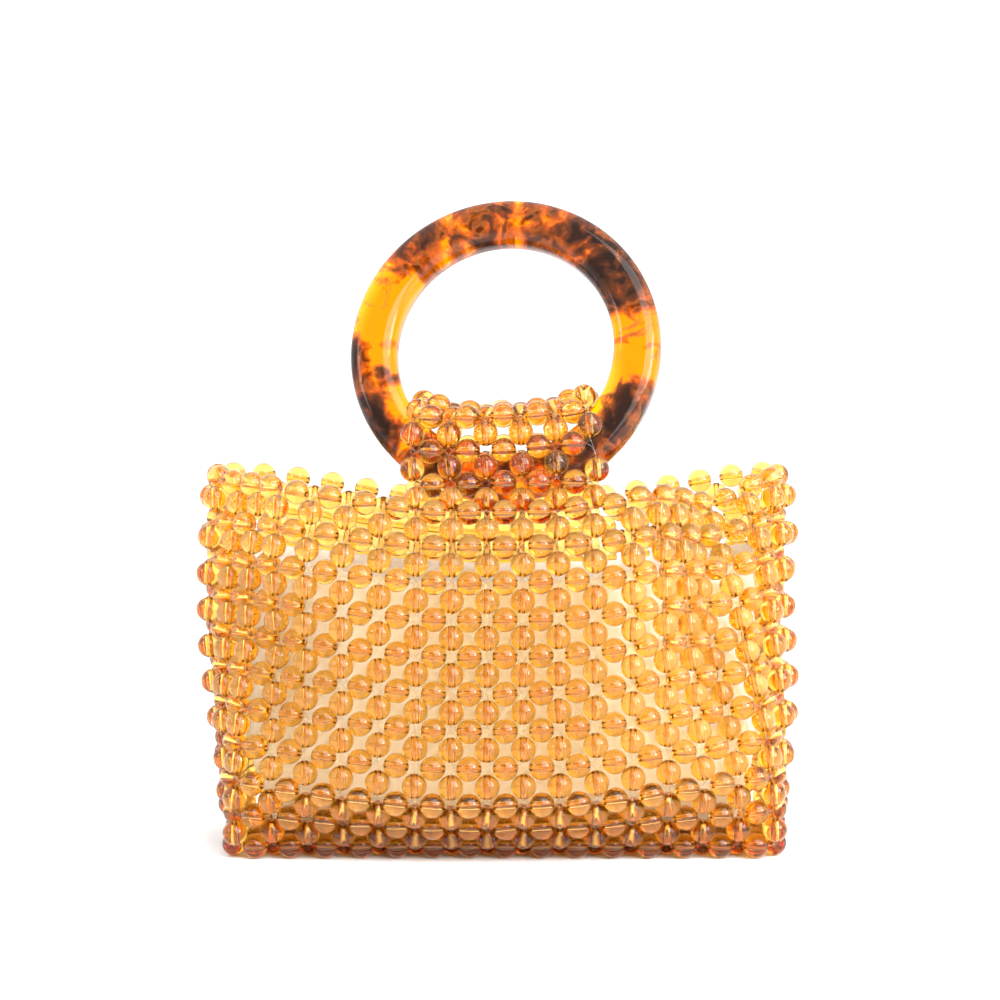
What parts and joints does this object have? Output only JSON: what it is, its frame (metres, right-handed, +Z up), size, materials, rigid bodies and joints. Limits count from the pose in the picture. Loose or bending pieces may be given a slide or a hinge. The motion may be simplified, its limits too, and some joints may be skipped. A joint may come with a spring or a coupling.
{
  "type": "beaded top-handle evening bag",
  "caption": "Open-topped evening bag woven from round translucent amber beads, with a cream lining pouch and one tortoiseshell ring handle held in a beaded band.",
  "frame": {"origin": "middle of the outline on the surface that the base rests on", "axes": "+Z up, the front faces -Y, +X to the right seen from the front"},
  "size_m": [0.241, 0.1228, 0.2589],
  "materials": {
    "amber_beads": "clear amber acrylic beads with a drilled bore, polished",
    "tortoiseshell": "polished resin, amber clouded with dark brown",
    "cream_cloth": "plain matte cotton"
  },
  "bodies": {
    "bag": {"front_panel": "amber_beads", "back_panel": "amber_beads", "left_gusset": "amber_beads", "right_gusset": "amber_beads", "base_panel": "amber_beads", "handle_band": "amber_beads", "lining_pouch": "cream_cloth"},
    "ring": {"ring_handle": "tortoiseshell"}
  },
  "joints": [
    {"name": "ring_turn", "type": "hinge", "parent": "bag", "child": "ring", "pos_m": [0.00273, 0.00536, 0.19917], "axis": [0.147, 0.9281, -0.342], "continuous": true}
  ]
}
